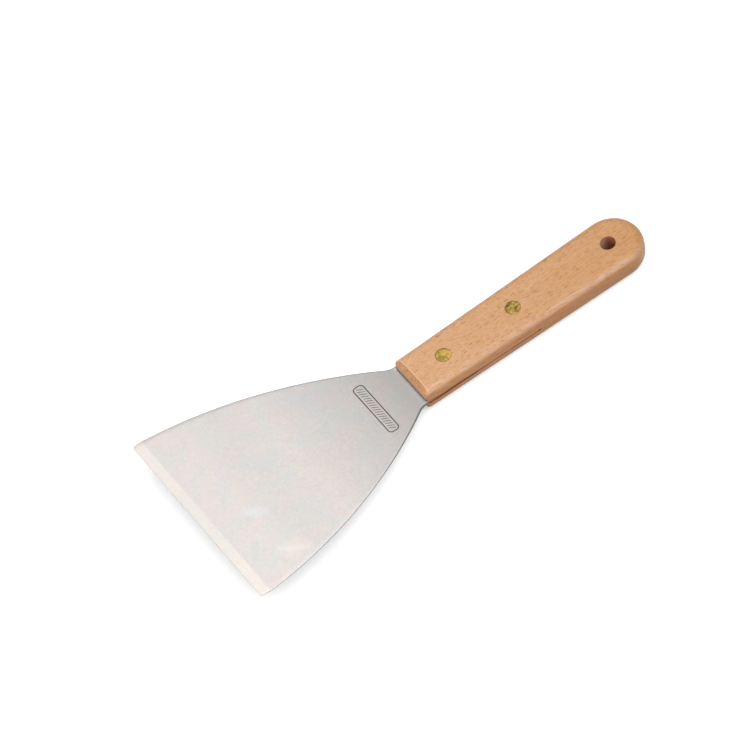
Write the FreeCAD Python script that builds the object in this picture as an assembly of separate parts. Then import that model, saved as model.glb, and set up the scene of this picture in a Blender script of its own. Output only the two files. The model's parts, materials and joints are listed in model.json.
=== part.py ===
import FreeCAD, Part

import math
import os

# Filling and taping knife: a flared, taper-ground steel blade whose tang sits in a saw kerf of a
# one-piece wooden handle, held by two two-part brass compression rivets.  Millimetres.
#
# Frame: the origin is on the axis of the hanging hole, at half the handle's thickness.
# +X runs along the handle to its round butt, +Y across the tool, +Z out of the upper broad face.
# The blade lies towards -X and is set up towards +Z by a few degrees.

# ---------------------------------------------------------------- driving dimensions
OVERALL_LENGTH = 235.0
HANDLE_LENGTH = 122.5
HANDLE_FRONT_WIDTH = 25.4
HANDLE_SIDE_SLOPE = 0.0138
HANDLE_THICKNESS = 12.0
HANDLE_EDGE_RADIUS = 4.3
FRONT_CHAMFER = 2.1
FRONT_CORNER_RADIUS = 1.6

HANGING_HOLE_RADIUS = 3.5
HANGING_HOLE_TO_BUTT = 15.8

BLADE_EDGE_WIDTH = 99.0
BLADE_SET_ANGLE = 3.5
BEND_LENGTH = 7.0
NECK_THICKNESS = 2.0
NECK_WIDTH = 23.6
NECK_FILLET_RADIUS = 8.0
SIDE_ARC_RADIUS = 221.8
SIDE_ARC_CENTRE_OUT = 15.0
SIDE_ARC_CENTRE_OFF = 171.3
CORNER_RADIUS = 1.0

# Thickness of the ground blade: full at the neck, hollow ground to a thin sheet, then a bevel.
HOLLOW_START = 9.0
HOLLOW_MIDDLE = 27.0
HOLLOW_END = 58.0
HOLLOW_MIDDLE_THICKNESS = 1.1
HOLLOW_END_THICKNESS = 0.75
BEVEL_LENGTH = 4.7
BEVEL_START_THICKNESS = 0.6
EDGE_THICKNESS = 0.3

TANG_WIDTH = 16.0
TANG_LENGTH = 61.0
TANG_SHOULDER_INSET = 1.5
TANG_SHOULDER_RADIUS = 2.5

KERF_WIDTH = 2.06
KERF_SIDE_DEPTH = 60.0
SAW_RADIUS = 60.0

RIVET_FROM_FRONT = {"front": 18.0, "rear": 55.4}
RIVET_HEAD_RADIUS = 3.5
RIVET_HEAD_THICKNESS = 1.5
RIVET_HEAD_CROWN = 0.22
RIVET_RIM_RADIUS = 0.25
SLEEVE_RADIUS = 2.0
SHANK_RADIUS = 1.6
PRESS_FIT_GAP = 0.01
SLEEVE_MOUTH_GAP = 2.0
SHANK_TIP_GAP = 0.6
SLEEVE_FLOOR = 1.2
RIVET_HOLE_GAP = 0.03

# ---------------------------------------------------------------- derived positions
BUTT_X = HANGING_HOLE_TO_BUTT
FRONT_X = BUTT_X - HANDLE_LENGTH
EDGE_X = BUTT_X - OVERALL_LENGTH
HALF_THICKNESS = HANDLE_THICKNESS / 2
HALF_FRONT = HANDLE_FRONT_WIDTH / 2
HALF_NECK = NECK_WIDTH / 2
HALF_TANG = TANG_WIDTH / 2
SET_ANGLE = math.radians(BLADE_SET_ANGLE)
BEND_RADIUS = BEND_LENGTH / SET_ANGLE
RIVET_X = {place: FRONT_X + distance for place, distance in RIVET_FROM_FRONT.items()}

# Overshoot of cutting bodies past the solids that they cut.
CLEAR = 20.0

# Lengths shorter than this count as nothing when an edge is picked.
TINY = 1e-6

# Share of a radius from its centre to the middle of a quarter turn, along either axis.
DIAGONAL = math.sqrt(0.5)

UP = FreeCAD.Vector(0, 0, 1)


def vec(x, y, z):
    return FreeCAD.Vector(x, y, z)


def line(a, b):
    return Part.makeLine(a, b)


def arc(a, middle, b):
    return Part.Arc(a, middle, b).toShape()


def plate(edges, low_z, high_z):
    """Closed flat outline in the XY plane, extruded from low_z to high_z."""
    face = Part.Face(Part.Wire(Part.__sortEdges__(edges)))
    face.translate(vec(0, 0, low_z))
    return face.extrude(vec(0, 0, high_z - low_z))


def upright_cylinder(x, radius, low_z, high_z):
    return Part.makeCylinder(radius, high_z - low_z, vec(x, 0, low_z), UP)


def turned(points, x):
    """Solid of revolution about the Z direction at (x, 0); points are (radius, z)."""
    corners = [vec(radius, 0, z) for radius, z in points]
    profile = Part.Face(Part.makePolygon(corners + corners[:1]))
    solid = profile.revolve(vec(0, 0, 0), UP, 360)
    solid.translate(vec(x, 0, 0))
    return solid


# ---------------------------------------------------------------- handle
def butt_radius():
    """Radius of the round butt that is tangent to both tapering sides."""
    slant = math.hypot(1, HANDLE_SIDE_SLOPE)
    return (HALF_FRONT + HANDLE_SIDE_SLOPE * HANDLE_LENGTH) / (slant + HANDLE_SIDE_SLOPE)


def handle_blank():
    """Tapered plate with a round butt, long edges rounded over, left long at the front."""
    radius = butt_radius()
    centre_x = BUTT_X - radius
    turn = math.atan(HANDLE_SIDE_SLOPE)
    tangent_x = centre_x - radius * math.sin(turn)
    tangent_y = radius * math.cos(turn)
    long_x = FRONT_X - CLEAR
    long_y = HALF_FRONT - HANDLE_SIDE_SLOPE * CLEAR
    front_low, front_high = vec(long_x, -long_y, 0), vec(long_x, long_y, 0)
    rear_low, rear_high = vec(tangent_x, -tangent_y, 0), vec(tangent_x, tangent_y, 0)
    outline = [
        line(front_low, rear_low),
        arc(rear_low, vec(BUTT_X, 0, 0), rear_high),
        line(rear_high, front_high),
        line(front_high, front_low),
    ]
    blank = plate(outline, -HALF_THICKNESS, HALF_THICKNESS)
    rounded = []
    for edge in blank.Edges:
        box = edge.BoundBox
        level = box.ZLength < TINY
        across_front = box.XLength < TINY
        if level and not across_front:
            rounded.append(edge)
    return blank.makeFillet(HANDLE_EDGE_RADIUS, rounded)


def front_trim():
    """Side profile that squares the front end and chamfers its upper and lower edges."""
    profile = [
        (FRONT_X, -HALF_THICKNESS + FRONT_CHAMFER),
        (FRONT_X + FRONT_CHAMFER, -HALF_THICKNESS),
        (FRONT_X + FRONT_CHAMFER, -HALF_THICKNESS - CLEAR),
        (BUTT_X + CLEAR, -HALF_THICKNESS - CLEAR),
        (BUTT_X + CLEAR, HALF_THICKNESS + CLEAR),
        (FRONT_X + FRONT_CHAMFER, HALF_THICKNESS + CLEAR),
        (FRONT_X + FRONT_CHAMFER, HALF_THICKNESS),
        (FRONT_X, HALF_THICKNESS - FRONT_CHAMFER),
    ]
    corners = [vec(x, -CLEAR, z) for x, z in profile]
    face = Part.Face(Part.makePolygon(corners + corners[:1]))
    return face.extrude(vec(0, 2 * CLEAR, 0))


def front_corner_cutter(side):
    """What is taken off one upright front corner to round it; side is +1 or -1 along Y."""
    centre_x = FRONT_X + FRONT_CORNER_RADIUS
    centre_y = HALF_FRONT - FRONT_CORNER_RADIUS
    block = Part.makeBox(CLEAR, CLEAR, 2 * CLEAR, vec(centre_x - CLEAR, centre_y, -CLEAR))
    post = Part.makeCylinder(FRONT_CORNER_RADIUS, 2 * CLEAR, vec(centre_x, centre_y, -CLEAR), UP)
    cutter = block.cut(post)
    return cutter if side > 0 else cutter.mirror(vec(0, 0, 0), vec(0, 1, 0))


def kerf():
    """Slot left by a round saw fed in from the front: deepest on the centre line."""
    sag = SAW_RADIUS - math.sqrt(SAW_RADIUS**2 - HALF_FRONT**2)
    reach = SAW_RADIUS - math.sqrt(SAW_RADIUS**2 - CLEAR**2)
    deep_x = FRONT_X + KERF_SIDE_DEPTH + sag
    side_x = deep_x - reach
    open_x = FRONT_X - CLEAR
    outline = [
        line(vec(open_x, -CLEAR, 0), vec(side_x, -CLEAR, 0)),
        arc(vec(side_x, -CLEAR, 0), vec(deep_x, 0, 0), vec(side_x, CLEAR, 0)),
        line(vec(side_x, CLEAR, 0), vec(open_x, CLEAR, 0)),
        line(vec(open_x, CLEAR, 0), vec(open_x, -CLEAR, 0)),
    ]
    return plate(outline, -KERF_WIDTH / 2, KERF_WIDTH / 2)


def rivet_bore(x):
    """Through hole for the sleeve with a counterbore for a head at each end."""
    hole = upright_cylinder(x, SLEEVE_RADIUS + RIVET_HOLE_GAP, -CLEAR, CLEAR)
    seat_z = HALF_THICKNESS - RIVET_HEAD_THICKNESS
    seat_radius = RIVET_HEAD_RADIUS + RIVET_HOLE_GAP
    upper = upright_cylinder(x, seat_radius, seat_z, CLEAR)
    lower = upright_cylinder(x, seat_radius, -CLEAR, -seat_z)
    return hole.fuse([upper, lower])


def make_handle():
    handle = handle_blank().common(front_trim())
    for side in (1, -1):
        handle = handle.cut(front_corner_cutter(side))
    handle = handle.cut(kerf())
    for x in RIVET_X.values():
        handle = handle.cut(rivet_bore(x))
    return handle.cut(upright_cylinder(0, HANGING_HOLE_RADIUS, -CLEAR, CLEAR))


# ---------------------------------------------------------------- blade
def blade_side_point(ahead, height):
    """Point of the side profile: ahead is measured from the handle's front along the blade's
    middle surface, height is normal to it.  The blade bends up over BEND_LENGTH."""
    if ahead <= 0:
        return vec(FRONT_X - ahead, 0, height)
    turn = min(ahead, BEND_LENGTH) / BEND_RADIUS
    straight = max(ahead - BEND_LENGTH, 0)
    middle_x = FRONT_X - BEND_RADIUS * math.sin(turn) - straight * math.cos(turn)
    middle_z = BEND_RADIUS * (1 - math.cos(turn)) + straight * math.sin(turn)
    return vec(middle_x + height * math.sin(turn), 0, middle_z + height * math.cos(turn))


def blade_length():
    """Length of the exposed blade along its middle surface, so that the edge is at EDGE_X."""
    bend_run = BEND_RADIUS * math.sin(SET_ANGLE)
    return BEND_LENGTH + (FRONT_X - EDGE_X - bend_run) / math.cos(SET_ANGLE)


def blade_side_profile():
    """Edges of the lengthwise section: tang, bend, hollow taper, thin sheet and ground bevel."""
    length = blade_length()
    bevel_start = length - BEVEL_LENGTH
    bend_middle = BEND_LENGTH / 2
    sides = []
    for sign in (1, -1):
        half_neck = sign * NECK_THICKNESS / 2
        tang_end = blade_side_point(-TANG_LENGTH, half_neck)
        bend_start = blade_side_point(0, half_neck)
        bend_end = blade_side_point(BEND_LENGTH, half_neck)
        hollow_start = blade_side_point(HOLLOW_START, half_neck)
        hollow_middle = blade_side_point(HOLLOW_MIDDLE, sign * HOLLOW_MIDDLE_THICKNESS / 2)
        hollow_end = blade_side_point(HOLLOW_END, sign * HOLLOW_END_THICKNESS / 2)
        bevel = blade_side_point(bevel_start, sign * BEVEL_START_THICKNESS / 2)
        tip = blade_side_point(length, sign * EDGE_THICKNESS / 2)
        sides.append((tang_end, tip))
        yield line(tang_end, bend_start)
        yield arc(bend_start, blade_side_point(bend_middle, half_neck), bend_end)
        yield line(bend_end, hollow_start)
        yield arc(hollow_start, hollow_middle, hollow_end)
        yield line(hollow_end, bevel)
        yield line(bevel, tip)
    (upper_tang, upper_tip), (lower_tang, lower_tip) = sides
    yield line(upper_tang, lower_tang)
    yield line(upper_tip, lower_tip)


def blade_half_outline(side):
    """Plan edges of one side of the blade, from the cutting edge back to the tang's end."""
    centre_x = EDGE_X - SIDE_ARC_CENTRE_OUT
    centre_y = -SIDE_ARC_CENTRE_OFF
    fillet_y = HALF_NECK + NECK_FILLET_RADIUS
    reach = SIDE_ARC_RADIUS + NECK_FILLET_RADIUS
    fillet_x = centre_x + math.sqrt(reach**2 - (fillet_y - centre_y) ** 2)

    def on_side_arc(x):
        return centre_y + math.sqrt(SIDE_ARC_RADIUS**2 - (x - centre_x) ** 2)

    def at(x, y):
        return vec(x, side * y, 0)

    # Tangent point of the flaring side and the neck fillet, on the line between both centres.
    share = SIDE_ARC_RADIUS / reach
    meet_x = centre_x + share * (fillet_x - centre_x)
    meet_y = centre_y + share * (fillet_y - centre_y)
    half_way = 0.5 * (math.atan2(meet_y - fillet_y, meet_x - fillet_x) - math.pi / 2)
    fillet_middle_x = fillet_x + NECK_FILLET_RADIUS * math.cos(half_way)
    fillet_middle_y = fillet_y + NECK_FILLET_RADIUS * math.sin(half_way)

    relief_x = EDGE_X + BEVEL_LENGTH
    flare_middle_x = (relief_x + meet_x) / 2
    half_edge = BLADE_EDGE_WIDTH / 2
    corner_bow = CORNER_RADIUS * (1 - DIAGONAL)
    shoulder_x = FRONT_X + TANG_SHOULDER_INSET
    shoulder_end_x = shoulder_x + TANG_SHOULDER_RADIUS
    shoulder_y = HALF_TANG + TANG_SHOULDER_RADIUS
    shoulder_bow = TANG_SHOULDER_RADIUS * (1 - DIAGONAL)
    end_x = FRONT_X + TANG_LENGTH
    round_x = end_x - HALF_TANG
    return [
        line(at(EDGE_X, 0), at(EDGE_X, half_edge - CORNER_RADIUS)),
        arc(
            at(EDGE_X, half_edge - CORNER_RADIUS),
            at(EDGE_X + corner_bow, half_edge - corner_bow),
            at(EDGE_X + CORNER_RADIUS, half_edge),
        ),
        line(at(EDGE_X + CORNER_RADIUS, half_edge), at(relief_x, on_side_arc(relief_x))),
        arc(
            at(relief_x, on_side_arc(relief_x)),
            at(flare_middle_x, on_side_arc(flare_middle_x)),
            at(meet_x, meet_y),
        ),
        arc(
            at(meet_x, meet_y),
            at(fillet_middle_x, fillet_middle_y),
            at(fillet_x, HALF_NECK),
        ),
        line(at(fillet_x, HALF_NECK), at(shoulder_x, HALF_NECK)),
        line(at(shoulder_x, HALF_NECK), at(shoulder_x, shoulder_y)),
        arc(
            at(shoulder_x, shoulder_y),
            at(shoulder_x + shoulder_bow, HALF_TANG + shoulder_bow),
            at(shoulder_end_x, HALF_TANG),
        ),
        line(at(shoulder_end_x, HALF_TANG), at(round_x, HALF_TANG)),
        arc(
            at(round_x, HALF_TANG),
            at(round_x + HALF_TANG * DIAGONAL, HALF_TANG * DIAGONAL),
            at(end_x, 0),
        ),
    ]


def make_blade():
    section = Part.Face(Part.Wire(Part.__sortEdges__(list(blade_side_profile()))))
    section.translate(vec(0, -BLADE_EDGE_WIDTH, 0))
    slab = section.extrude(vec(0, 2 * BLADE_EDGE_WIDTH, 0))
    outline = blade_half_outline(1) + blade_half_outline(-1)
    blade = slab.common(plate(outline, -CLEAR, CLEAR))
    for x in RIVET_X.values():
        blade = blade.cut(upright_cylinder(x, SLEEVE_RADIUS + RIVET_HOLE_GAP, -CLEAR, CLEAR))
    return blade


# ---------------------------------------------------------------- rivets
def crowned_head(x):
    """Upper rivet head, flush at its rim with the handle's face and slightly crowned."""
    seat_z = HALF_THICKNESS - RIVET_HEAD_THICKNESS
    disc = upright_cylinder(x, RIVET_HEAD_RADIUS, seat_z, HALF_THICKNESS + RIVET_HEAD_CROWN)
    ball_radius = (RIVET_HEAD_RADIUS**2 + RIVET_HEAD_CROWN**2) / (2 * RIVET_HEAD_CROWN)
    ball_z = HALF_THICKNESS + RIVET_HEAD_CROWN - ball_radius
    head = disc.common(Part.makeSphere(ball_radius, vec(x, 0, ball_z)))
    seat_edges = []
    for edge in head.Edges:
        if abs(edge.BoundBox.ZMax - seat_z) < TINY:
            seat_edges.append(edge)
    return head.makeChamfer(RIVET_RIM_RADIUS, seat_edges)


def make_rivet_male(x):
    """Upper half: crowned head with a solid shank."""
    seat_z = HALF_THICKNESS - RIVET_HEAD_THICKNESS
    floor_z = -HALF_THICKNESS + RIVET_HEAD_THICKNESS + SLEEVE_FLOOR
    shank_radius = SHANK_RADIUS - PRESS_FIT_GAP
    tip_z = floor_z + SHANK_TIP_GAP
    shank = turned(
        [
            (0, tip_z),
            (shank_radius - RIVET_RIM_RADIUS, tip_z),
            (shank_radius, tip_z + RIVET_RIM_RADIUS),
            (shank_radius, seat_z + RIVET_RIM_RADIUS),
            (0, seat_z + RIVET_RIM_RADIUS),
        ],
        x,
    )
    return crowned_head(x).fuse(shank).removeSplitter()


def make_rivet_female(x):
    """Lower half: crowned head with a sleeve that the shank is pressed into."""
    seat_z = -HALF_THICKNESS + RIVET_HEAD_THICKNESS
    floor_z = seat_z + SLEEVE_FLOOR
    mouth_z = HALF_THICKNESS - RIVET_HEAD_THICKNESS - SLEEVE_MOUTH_GAP
    head = crowned_head(x).mirror(vec(0, 0, 0), UP)
    sleeve = turned(
        [
            (0, seat_z - RIVET_RIM_RADIUS),
            (SLEEVE_RADIUS, seat_z - RIVET_RIM_RADIUS),
            (SLEEVE_RADIUS, mouth_z),
            (SHANK_RADIUS, mouth_z),
            (SHANK_RADIUS, floor_z),
            (0, floor_z),
        ],
        x,
    )
    return head.fuse(sleeve).removeSplitter()


def main():
    pieces = {"handle": make_handle(), "blade": make_blade()}
    for place, x in RIVET_X.items():
        pieces[f"rivet_{place}_male"] = make_rivet_male(x)
        pieces[f"rivet_{place}_female"] = make_rivet_female(x)
    os.makedirs("parts", exist_ok=True)
    for name, shape in pieces.items():
        solid = shape.Solids[0]
        solid.exportStep(f"parts/{name}.step")


main()
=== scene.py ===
import json
import math

import bmesh
import bpy
from mathutils import Matrix, Vector, noise


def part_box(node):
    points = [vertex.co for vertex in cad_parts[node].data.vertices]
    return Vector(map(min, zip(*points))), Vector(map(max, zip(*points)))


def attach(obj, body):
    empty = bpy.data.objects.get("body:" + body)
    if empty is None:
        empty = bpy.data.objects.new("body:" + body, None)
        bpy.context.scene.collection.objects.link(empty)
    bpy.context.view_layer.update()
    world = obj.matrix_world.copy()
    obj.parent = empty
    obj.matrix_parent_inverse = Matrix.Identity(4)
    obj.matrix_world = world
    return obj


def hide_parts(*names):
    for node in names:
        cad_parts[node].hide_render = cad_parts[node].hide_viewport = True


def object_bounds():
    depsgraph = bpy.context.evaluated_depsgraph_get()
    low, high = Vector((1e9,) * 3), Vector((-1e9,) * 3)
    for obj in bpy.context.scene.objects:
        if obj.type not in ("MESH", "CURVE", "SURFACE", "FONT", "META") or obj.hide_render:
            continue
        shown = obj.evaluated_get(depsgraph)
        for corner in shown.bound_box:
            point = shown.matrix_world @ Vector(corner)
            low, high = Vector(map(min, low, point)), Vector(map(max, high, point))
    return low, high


# Looks of the filling knife.  The frame is in metres; shapes below are worked out in millimetres
# from the frame's boxes and turned into metres when a mesh is made.
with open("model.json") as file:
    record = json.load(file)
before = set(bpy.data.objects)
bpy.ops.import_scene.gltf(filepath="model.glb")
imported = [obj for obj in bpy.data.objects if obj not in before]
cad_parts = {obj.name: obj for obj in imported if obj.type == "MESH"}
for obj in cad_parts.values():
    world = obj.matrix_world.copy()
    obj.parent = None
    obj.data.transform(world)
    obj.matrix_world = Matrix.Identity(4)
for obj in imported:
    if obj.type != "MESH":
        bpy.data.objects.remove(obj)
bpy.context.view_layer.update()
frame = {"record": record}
MM = 0.001


def box_mm(node):
    low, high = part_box(node)
    return low / MM, high / MM


HANDLE_LOW, HANDLE_HIGH = box_mm("handle")
BLADE_LOW, BLADE_HIGH = box_mm("blade")
MOUNTS = {mount["name"]: mount for mount in frame["record"]["mounts"]}
HOLE_RADIUS = MOUNTS["hanging_hole"]["dims"]["r_mm"]

# ---------------------------------------------------------------- shape values, millimetres
FRONT_X = HANDLE_LOW.x
BUTT_X = HANDLE_HIGH.x
HALF_THICKNESS = HANDLE_HIGH.z
SIDE_SLOPE = 0.0138
HALF_FRONT = 12.7
EDGE_RADIUS = 4.3
FRONT_CHAMFER = 2.1
FRONT_CORNER = 2.0
LEAST_CORNER = 0.9

# The kerf is sawn parallel with a round saw.  The rivets press its lips together beside the tang,
# a little behind the front and more toward the rear rivet; at its end it opens again.
KERF_HALF = 1.03
KERF_DEPTH = 60.0
SAW_RADIUS = 60.0
PRESSED_FIRST = 0.24
PRESSED_FIRST_ONSET = (FRONT_X + 4.0, FRONT_X + 7.0)
PRESSED = 0.56
PRESSED_ONSET = (FRONT_X + 10.0, FRONT_X + 34.0)
PRESSED_DEPTH = (9.0, 11.5)
END_OPENING = 0.2
END_REACH = (FRONT_X + 58.0, FRONT_X + 59.0)

# Sharp edges of the wood are eased; edges that lie deeper than EASED_SKIN in the wood are not.
EASED = 0.22
EASED_SKIN = 0.4
EASED_LIP = 0.6
SHARP_DEGREES = 32

EDGE_X = BLADE_LOW.x
TANG_END_X = BLADE_HIGH.x
NECK_HALF_WIDTH = 12.15
NECK_FILLET = 8.0
SIDE_ARC = 221.8
ARC_OUT = 15.0
ARC_OFF = 171.3
EDGE_HALF_WIDTH = 49.5
CORNER = 1.6
TANG_HALF = 8.0
TANG_TIP_HALF = 0.2
SHOULDER_INSET = 1.5
SHOULDER_RADIUS = 2.5
SET_ANGLE = math.radians(3.5)
BEND_LENGTH = 7.0
BEVEL_LENGTH = 4.7

# Half thickness of the blade against distance ahead of the handle.
NECK_HALF = 1.0
HOLLOW = ((9.0, 1.0), (27.0, 0.55), (58.0, 0.375))
BEVEL_HALF = 0.3
TIP_HALF = 0.15
BLADE_RIM = 0.28

RIVETS = ("front", "rear")
HEAD_THICKNESS = 1.5
HEAD_RIM = 0.08
SLEEVE_RADIUS = 2.0
SLEEVE_BORE = 1.6
SLEEVE_FLOOR = 1.2
SHANK_GAP = 0.01
SHANK_CHAMFER = 0.25
RIVET_GAP = 0.015
# Hammer dents in a head: place from its centre, radius and depth.
DENTS = {
    "front": [(-1.2, 0.6, 2.0, 0.06), (1.0, -0.8, 2.2, 0.05)],
    "rear": [(-1.2, 0.1, 1.0, 0.09), (0.8, -0.8, 1.0, 0.09), (0.8, 1.6, 1.3, 0.06)],
}
PEEN_DEPTH = 0.03
PEEN_GRAIN = 0.9

# Faces around a full turn.
HEAD_SEGMENTS = 96
SEAT_SEGMENTS = 72
BORE_SEGMENTS = 48
# Round cutters reach this far up and down, well out of the piece that they cut.
CUT_REACH = 20.0
# Points closer than this are merged after a cut, after the easing and along the blade.
MERGE_CUT = 0.001
MERGE_EASED = 0.0005
MERGE_BLADE = 0.0001

# Etched mark on the blade: its middle lies MARK_AHEAD in front of the handle.
MARK_AHEAD = 19.1
MARK_Y = -0.7
MARK_HALF = (2.5, 14.6)
MARK_CORNER = 1.7
MARK_LINE = 0.24
STROKE_PITCH = 1.5
STROKE_SLANT = 0.6

# Wiped patches on the blade: middle, half length and half width, turn.
WIPED_STREAK = ((EDGE_X + 22.2, -11.9), (8.5, 4.0), -0.70)
WIPED_PATCH = ((EDGE_X + 24.0, -37.5), (9.0, 2.8), -0.62)
WIPED_HALO = ((EDGE_X + 25.2, -38.5), (11.0, 7.5), -0.62)

# Grain of the handle, where the painted sheen on its long edges is fullest, and where its butt darkens.
GRAIN_TURN = math.radians(1.5)
THREAD_LEAN = math.radians(-10)
SHEEN_FULL_X = BUTT_X - 55.8
BUTT_ONSET = (BUTT_X - 20.8, BUTT_X - 10.8)


# ---------------------------------------------------------------- mesh helpers
def mesh_object(name, bm):
    mesh = bpy.data.meshes.new(name)
    bm.to_mesh(mesh)
    bm.free()
    mesh.update()
    piece = bpy.data.objects.new(name, mesh)
    bpy.context.scene.collection.objects.link(piece)
    return piece


def point(bm, x, y, z):
    return bm.verts.new((x * MM, y * MM, z * MM))


def bridge(bm, ring_a, ring_b, closed=True):
    """Row of quads between two rings, or between two open lines of points."""
    count = len(ring_a)
    for i in range(count if closed else count - 1):
        j = (i + 1) % count
        bm.faces.new((ring_a[i], ring_a[j], ring_b[j], ring_b[i]))


def applied(piece):
    """Replaces the piece's mesh by the result of its modifiers."""
    graph = bpy.context.evaluated_depsgraph_get()
    made = bpy.data.meshes.new_from_object(piece.evaluated_get(graph))
    piece.modifiers.clear()
    old = piece.data
    piece.data = made
    bpy.data.meshes.remove(old)
    return piece


def tidied(piece, distance):
    """Merges points closer than distance and drops the faces and edges that shrink to nothing."""
    bm = bmesh.new()
    bm.from_mesh(piece.data)
    bmesh.ops.remove_doubles(bm, verts=bm.verts, dist=distance * MM)
    bmesh.ops.dissolve_degenerate(bm, dist=distance * MM, edges=bm.edges)
    bm.to_mesh(piece.data)
    bm.free()
    return piece


def cut(piece, cutters):
    """Takes all the cutters, which may overlap, out of the piece in one step."""
    merged = bmesh.new()
    for cutter in cutters:
        merged.from_mesh(cutter.data)
        bpy.data.objects.remove(cutter)
    tool = mesh_object("cutter", merged)
    modifier = piece.modifiers.new("cut", "BOOLEAN")
    modifier.operation = "DIFFERENCE"
    modifier.solver = "EXACT"
    modifier.use_self = True
    modifier.object = tool
    applied(piece)
    bpy.data.objects.remove(tool)
    return tidied(piece, MERGE_CUT)


def lathe(name, profile, centre, segments):
    """Turned solid about Z; profile is a list of (radius, z) from the axis out and back to it."""
    bm = bmesh.new()
    rings = []
    for radius, z in profile:
        if radius == 0:
            rings.append([point(bm, centre, 0, z)])
            continue
        ring = []
        for i in range(segments):
            turn = 2 * math.pi * i / segments
            ring.append(point(bm, centre + radius * math.cos(turn), radius * math.sin(turn), z))
        rings.append(ring)
    for ring_a, ring_b in zip(rings, rings[1:]):
        if len(ring_a) == 1:
            for i in range(segments):
                bm.faces.new((ring_a[0], ring_b[i], ring_b[(i + 1) % segments]))
        elif len(ring_b) == 1:
            for i in range(segments):
                bm.faces.new((ring_a[(i + 1) % segments], ring_a[i], ring_b[0]))
        else:
            bridge(bm, ring_a, ring_b)
    bmesh.ops.recalc_face_normals(bm, faces=bm.faces)
    return mesh_object(name, bm)


def post(x, radius, low, high, segments):
    """Round cutter along Z."""
    return lathe("cutter", [(0, low), (radius, low), (radius, high), (0, high)], x, segments)


def soften(piece, width, weight):
    """Rounds the sharp edges by width times weight(middle), then smooths."""
    mesh = piece.data
    bm = bmesh.new()
    bm.from_mesh(mesh)
    layer = bm.edges.layers.float.new("bevel_weight_edge")
    for edge in bm.edges:
        if len(edge.link_faces) == 2 and math.degrees(edge.calc_face_angle()) > SHARP_DEGREES:
            edge[layer] = weight((edge.verts[0].co + edge.verts[1].co) / (2 * MM))
    bm.to_mesh(mesh)
    bm.free()
    bevel = piece.modifiers.new("eased", "BEVEL")
    bevel.limit_method = "WEIGHT"
    bevel.width = width * MM
    bevel.segments = 3
    bevel.use_clamp_overlap = False
    bevel.miter_outer = "MITER_ARC"
    tidied(applied(piece), MERGE_EASED)
    piece.data.shade_smooth()
    weighted = piece.modifiers.new("weighted", "WEIGHTED_NORMAL")
    weighted.keep_sharp = True
    weighted.weight = 80
    return piece


# ---------------------------------------------------------------- handle
def butt_radius():
    """Radius of the round butt that the slanting sides run into."""
    slant = math.hypot(1, SIDE_SLOPE)
    length = BUTT_X - FRONT_X
    return (HALF_FRONT + SIDE_SLOPE * length) / (slant + SIDE_SLOPE)


def handle_outline(inset, front_cut):
    """Plan outline moved in by inset, with front_cut taken off the front end."""
    radius = butt_radius()
    centre_x = BUTT_X - radius
    turn = math.atan(SIDE_SLOPE)
    corner = max(LEAST_CORNER, FRONT_CORNER - max(inset, front_cut))
    front_x = FRONT_X + front_cut
    front_half = HALF_FRONT + SIDE_SLOPE * front_cut - inset
    side = []
    steps_front = 4
    for i in range(steps_front):
        side.append((front_x, (front_half - corner) * i / steps_front))
    steps_corner = 6
    for i in range(steps_corner):
        a = math.pi - 0.5 * math.pi * i / steps_corner
        corner_x = front_x + corner + corner * math.cos(a)
        side.append((corner_x, front_half - corner + corner * math.sin(a)))
    steps_side = 30
    tangent_x = centre_x - (radius - inset) * math.sin(turn)
    tangent_y = (radius - inset) * math.cos(turn)
    for i in range(steps_side):
        share = i / steps_side
        x = front_x + corner + share * (tangent_x - front_x - corner)
        side.append((x, front_half + share * (tangent_y - front_half)))
    steps_butt = 32
    for i in range(steps_butt + 1):
        a = (0.5 * math.pi + turn) * (1 - i / steps_butt)
        side.append((centre_x + (radius - inset) * math.cos(a), (radius - inset) * math.sin(a)))
    mirrored = [(x, -y) for x, y in reversed(side[1:-1])]
    return side + mirrored


def handle_levels():
    """Heights and insets of the rings from the lower face to the upper one."""
    flat_half = HALF_THICKNESS - EDGE_RADIUS
    chamfer_half = HALF_THICKNESS - FRONT_CHAMFER
    chamfer_turn = math.asin((chamfer_half - flat_half) / EDGE_RADIUS)
    turns = [0.5 * chamfer_turn * i for i in range(3)]
    steps = 10
    for i in range(1, steps + 1):
        turns.append(chamfer_turn + (0.5 * math.pi - chamfer_turn) * i / steps)
    upper = []
    for turn in turns:
        upper.append((flat_half + EDGE_RADIUS * math.sin(turn), EDGE_RADIUS * (1 - math.cos(turn))))
    lower = [(-z, inset) for z, inset in reversed(upper)]
    return lower + upper


def smooth_step(value, low, high):
    """0 below low and 1 above high, with a soft S between them."""
    share = min(1.0, max(0.0, (value - low) / (high - low)))
    return share * share * (3 - 2 * share)


def kerf_half(x, y):
    """Half width of the kerf: full over the tang, pressed nearly shut beside it."""
    pressed = PRESSED_FIRST * smooth_step(x, *PRESSED_FIRST_ONSET)
    pressed += PRESSED * smooth_step(x, *PRESSED_ONSET)
    pressed -= END_OPENING * smooth_step(x, *END_REACH)
    return KERF_HALF * (1 - pressed * smooth_step(abs(y), *PRESSED_DEPTH))


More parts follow.
